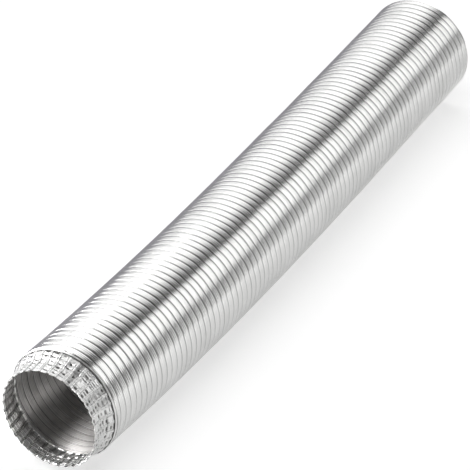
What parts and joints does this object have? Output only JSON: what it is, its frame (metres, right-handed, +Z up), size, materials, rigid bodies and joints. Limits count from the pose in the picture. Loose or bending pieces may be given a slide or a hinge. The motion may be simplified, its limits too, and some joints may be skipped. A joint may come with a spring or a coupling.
{
  "type": "flexible air duct",
  "caption": "Semi-rigid flexible air duct of spirally wound, folded bright aluminium strip, with a crimped pleated collar at one end and a plain cut far end.",
  "frame": {"origin": "centre of the open mouth of the crimped collar, on the duct's axis", "axes": "+X runs from the collar's mouth along the duct, +Z is up with the duct lying on a surface, and the duct curves gently towards +Y"},
  "size_m": [0.7106, 0.1413, 0.1044],
  "materials": {
    "wall_foil": "bright, with fine lines round the duct",
    "collar_foil": "bright, pleated and pressed into rows"
  },
  "bodies": {
    "collar": {"crimped_collar": "collar_foil", "collar_bead": "collar_foil", "collar_bands": "wall_foil"},
    "section_01": {"section_01": "wall_foil"},
    "section_02": {"section_02": "wall_foil"},
    "section_03": {"section_03": "wall_foil"},
    "section_04": {"section_04": "wall_foil"},
    "section_05": {"section_05": "wall_foil"},
    "section_06": {"section_06": "wall_foil"},
    "section_07": {"section_07": "wall_foil"},
    "section_08": {"section_08": "wall_foil"},
    "section_09": {"section_09": "wall_foil"},
    "section_10": {"section_10": "wall_foil"},
    "section_11": {"section_11": "wall_foil"},
    "section_12": {"section_12": "wall_foil"},
    "section_13": {"section_13": "wall_foil"},
    "section_14": {"section_14": "wall_foil"},
    "section_15": {"section_15": "wall_foil"},
    "section_16": {"section_16": "wall_foil"},
    "section_17": {"section_17": "wall_foil"},
    "section_18": {"section_18": "wall_foil"},
    "section_19": {"section_19": "wall_foil"},
    "section_20": {"section_20": "wall_foil"},
    "section_21": {"section_21": "wall_foil"},
    "section_22": {"section_22": "wall_foil"},
    "section_23": {"section_23": "wall_foil"},
    "section_24": {"section_24": "wall_foil"},
    "section_25": {"section_25": "wall_foil"},
    "section_26": {"section_26": "wall_foil"},
    "section_27": {"section_27": "wall_foil"},
    "section_28": {"section_28": "wall_foil"},
    "section_29": {"section_29": "wall_foil"},
    "section_30": {"section_30": "wall_foil"},
    "section_31": {"section_31": "wall_foil"},
    "section_32": {"section_32": "wall_foil"},
    "section_33": {"section_33": "wall_foil"},
    "section_34": {"section_34": "wall_foil"},
    "section_35": {"section_35": "wall_foil"},
    "section_36": {"section_36": "wall_foil"},
    "section_37": {"section_37": "wall_foil"},
    "section_38": {"section_38": "wall_foil"},
    "section_39": {"section_39": "wall_foil"},
    "section_40": {"section_40": "wall_foil"},
    "section_41": {"section_41": "wall_foil"}
  },
  "joints": [
    {"name": "stretch_01", "type": "slide", "parent": "collar", "child": "section_01", "axis": [1, 0.0011, 0], "range_m": [0, 0.062]},
    {"name": "bend_left_02", "type": "hinge", "parent": "section_01", "child": "section_02", "pos_m": [0.06777, 0.05224, 0], "axis": [0, 0, 1], "range_deg": [0, 18]},
    {"name": "stretch_03", "type": "slide", "parent": "section_02", "child": "section_03", "axis": [1, 0.0089, 0], "range_m": [0, 0.062]},
    {"name": "bend_right_04", "type": "hinge", "parent": "section_03", "child": "section_04", "pos_m": [0.10068, -0.05188, 0], "axis": [0, 0, -1], "range_deg": [0, 18]},
    {"name": "stretch_05", "type": "slide", "parent": "section_04", "child": "section_05", "axis": [0.9999, 0.0172, 0], "range_m": [0, 0.062]},
    {"name": "bend_up_06", "type": "hinge", "parent": "section_05", "child": "section_06", "pos_m": [0.13199, 0.00087, 0.0522], "axis": [0.0212, -0.9998, 0], "range_deg": [0, 18]},
    {"name": "stretch_07", "type": "slide", "parent": "section_06", "child": "section_07", "axis": [0.9997, 0.025, 0], "range_m": [0, 0.062]},
    {"name": "bend_down_08", "type": "hinge", "parent": "section_07", "child": "section_08", "pos_m": [0.16398, 0.00167, -0.0522], "axis": [-0.0287, 0.9996, 0], "range_deg": [0, 18]},
    {"name": "stretch_09", "type": "slide", "parent": "section_08", "child": "section_09", "axis": [0.9995, 0.0323, 0], "range_m": [0, 0.062]},
    {"name": "bend_left_10", "type": "hinge", "parent": "section_09", "child": "section_10", "pos_m": [0.1941, 0.05487, 0], "axis": [0, 0, 1], "range_deg": [0, 18]},
    {"name": "stretch_11", "type": "slide", "parent": "section_10", "child": "section_11", "axis": [0.9992, 0.039, 0], "range_m": [0, 0.062]},
    {"name": "bend_right_12", "type": "hinge", "parent": "section_11", "child": "section_12", "pos_m": [0.23014, -0.0482, 0], "axis": [0, 0, -1], "range_deg": [0, 18]},
    {"name": "stretch_13", "type": "slide", "parent": "section_12", "child": "section_13", "axis": [0.999, 0.0452, 0], "range_m": [0, 0.062]},
    {"name": "bend_up_14", "type": "hinge", "parent": "section_13", "child": "section_14", "pos_m": [0.25991, 0.0054, 0.0522], "axis": [0.0481, -0.9988, 0], "range_deg": [0, 18]},
    {"name": "stretch_15", "type": "slide", "parent": "section_14", "child": "section_15", "axis": [0.9987, 0.0509, 0], "range_m": [0, 0.062]},
    {"name": "bend_down_16", "type": "hinge", "parent": "section_15", "child": "section_16", "pos_m": [0.29187, 0.00703, -0.0522], "axis": [-0.0535, 0.9986, 0], "range_deg": [0, 18]},
    {"name": "stretch_17", "type": "slide", "parent": "section_16", "child": "section_17", "axis": [0.9984, 0.0561, 0], "range_m": [0, 0.062]},
    {"name": "bend_left_18", "type": "hinge", "parent": "section_17", "child": "section_18", "pos_m": [0.32077, 0.06093, 0], "axis": [0, 0, 1], "range_deg": [0, 18]},
    {"name": "stretch_19", "type": "slide", "parent": "section_18", "child": "section_19", "axis": [0.9982, 0.0607, 0], "range_m": [0, 0.062]},
    {"name": "bend_right_20", "type": "hinge", "parent": "section_19", "child": "section_20", "pos_m": [0.35904, -0.04133, 0], "axis": [0, 0, -1], "range_deg": [0, 18]},
    {"name": "stretch_21", "type": "slide", "parent": "section_20", "child": "section_21", "axis": [0.9979, 0.0647, 0], "range_m": [0, 0.062]},
    {"name": "bend_up_22", "type": "hinge", "parent": "section_21", "child": "section_22", "pos_m": [0.38769, 0.01283, 0.0522], "axis": [0.0666, -0.9978, 0], "range_deg": [0, 18]},
    {"name": "stretch_23", "type": "slide", "parent": "section_22", "child": "section_23", "axis": [0.9977, 0.0683, 0], "range_m": [0, 0.062]},
    {"name": "bend_down_24", "type": "hinge", "parent": "section_23", "child": "section_24", "pos_m": [0.41962, 0.01502, -0.0522], "axis": [-0.0699, 0.9976, 0], "range_deg": [0, 18]},
    {"name": "stretch_25", "type": "slide", "parent": "section_24", "child": "section_25", "axis": [0.9975, 0.0713, 0], "range_m": [0, 0.062]},
    {"name": "bend_left_26", "type": "hinge", "parent": "section_25", "child": "section_26", "pos_m": [0.44775, 0.06936, 0], "axis": [0, 0, 1], "range_deg": [0, 18]},
    {"name": "stretch_27", "type": "slide", "parent": "section_26", "child": "section_27", "axis": [0.9973, 0.0738, 0], "range_m": [0, 0.062]},
    {"name": "bend_right_28", "type": "hinge", "parent": "section_27", "child": "section_28", "pos_m": [0.48735, -0.03239, 0], "axis": [0, 0, -1], "range_deg": [0, 18]},
    {"name": "stretch_29", "type": "slide", "parent": "section_28", "child": "section_29", "axis": [0.9971, 0.0757, 0], "range_m": [0, 0.062]},
    {"name": "bend_up_30", "type": "hinge", "parent": "section_29", "child": "section_30", "pos_m": [0.51536, 0.02209, 0.0522], "axis": [0.0765, -0.9971, 0], "range_deg": [0, 18]},
    {"name": "stretch_31", "type": "slide", "parent": "section_30", "child": "section_31", "axis": [0.997, 0.0772, 0], "range_m": [0, 0.062]},
    {"name": "bend_down_32", "type": "hinge", "parent": "section_31", "child": "section_32", "pos_m": [0.54726, 0.02456, -0.0522], "axis": [-0.0777, 0.997, 0], "range_deg": [0, 18]},
    {"name": "stretch_33", "type": "slide", "parent": "section_32", "child": "section_33", "axis": [0.9969, 0.0781, 0], "range_m": [0, 0.062]},
    {"name": "bend_left_34", "type": "hinge", "parent": "section_33", "child": "section_34", "pos_m": [0.57508, 0.07909, 0], "axis": [0, 0, 1], "range_deg": [0, 18]},
    {"name": "stretch_35", "type": "slide", "parent": "section_34", "child": "section_35", "axis": [0.9969, 0.0784, 0], "range_m": [0, 0.062]},
    {"name": "bend_right_36", "type": "hinge", "parent": "section_35", "child": "section_36", "pos_m": [0.61516, -0.02247, 0], "axis": [0, 0, -1], "range_deg": [0, 18]},
    {"name": "stretch_37", "type": "slide", "parent": "section_36", "child": "section_37", "axis": [0.9969, 0.0785, 0], "range_m": [0, 0.062]},
    {"name": "bend_up_38", "type": "hinge", "parent": "section_37", "child": "section_38", "pos_m": [0.64297, 0.03208, 0.0522], "axis": [0.0785, -0.9969, 0], "range_deg": [0, 18]},
    {"name": "stretch_39", "type": "slide", "parent": "section_38", "child": "section_39", "axis": [0.9969, 0.0785, 0], "range_m": [0, 0.062]},
    {"name": "bend_down_40", "type": "hinge", "parent": "section_39", "child": "section_40", "pos_m": [0.67487, 0.03459, -0.0522], "axis": [-0.0785, 0.9969, 0], "range_deg": [0, 18]},
    {"name": "stretch_41", "type": "slide", "parent": "section_40", "child": "section_41", "axis": [0.9969, 0.0785, 0], "range_m": [0, 0.062]}
  ],
  "couplings": [
    {"joint": "stretch_03", "follows": "stretch_01", "ratio": 1},
    {"joint": "stretch_05", "follows": "stretch_01", "ratio": 1},
    {"joint": "stretch_07", "follows": "stretch_01", "ratio": 1},
    {"joint": "stretch_09", "follows": "stretch_01", "ratio": 1},
    {"joint": "bend_left_10", "follows": "bend_left_02", "ratio": 1},
    {"joint": "stretch_11", "follows": "stretch_01", "ratio": 1},
    {"joint": "bend_right_12", "follows": "bend_right_04", "ratio": 1},
    {"joint": "stretch_13", "follows": "stretch_01", "ratio": 1},
    {"joint": "bend_up_14", "follows": "bend_up_06", "ratio": 1},
    {"joint": "stretch_15", "follows": "stretch_01", "ratio": 1},
    {"joint": "bend_down_16", "follows": "bend_down_08", "ratio": 1},
    {"joint": "stretch_17", "follows": "stretch_01", "ratio": 1},
    {"joint": "bend_left_18", "follows": "bend_left_02", "ratio": 1},
    {"joint": "stretch_19", "follows": "stretch_01", "ratio": 1},
    {"joint": "bend_right_20", "follows": "bend_right_04", "ratio": 1},
    {"joint": "stretch_21", "follows": "stretch_01", "ratio": 1},
    {"joint": "bend_up_22", "follows": "bend_up_06", "ratio": 1},
    {"joint": "stretch_23", "follows": "stretch_01", "ratio": 1},
    {"joint": "bend_down_24", "follows": "bend_down_08", "ratio": 1},
    {"joint": "stretch_25", "follows": "stretch_01", "ratio": 1},
    {"joint": "bend_left_26", "follows": "bend_left_02", "ratio": 1},
    {"joint": "stretch_27", "follows": "stretch_01", "ratio": 1},
    {"joint": "bend_right_28", "follows": "bend_right_04", "ratio": 1},
    {"joint": "stretch_29", "follows": "stretch_01", "ratio": 1},
    {"joint": "bend_up_30", "follows": "bend_up_06", "ratio": 1},
    {"joint": "stretch_31", "follows": "stretch_01", "ratio": 1},
    {"joint": "bend_down_32", "follows": "bend_down_08", "ratio": 1},
    {"joint": "stretch_33", "follows": "stretch_01", "ratio": 1},
    {"joint": "bend_left_34", "follows": "bend_left_02", "ratio": 1},
    {"joint": "stretch_35", "follows": "stretch_01", "ratio": 1},
    {"joint": "bend_right_36", "follows": "bend_right_04", "ratio": 1},
    {"joint": "stretch_37", "follows": "stretch_01", "ratio": 1},
    {"joint": "bend_up_38", "follows": "bend_up_06", "ratio": 1},
    {"joint": "stretch_39", "follows": "stretch_01", "ratio": 1},
    {"joint": "bend_down_40", "follows": "bend_down_08", "ratio": 1},
    {"joint": "stretch_41", "follows": "stretch_01", "ratio": 1}
  ]
}
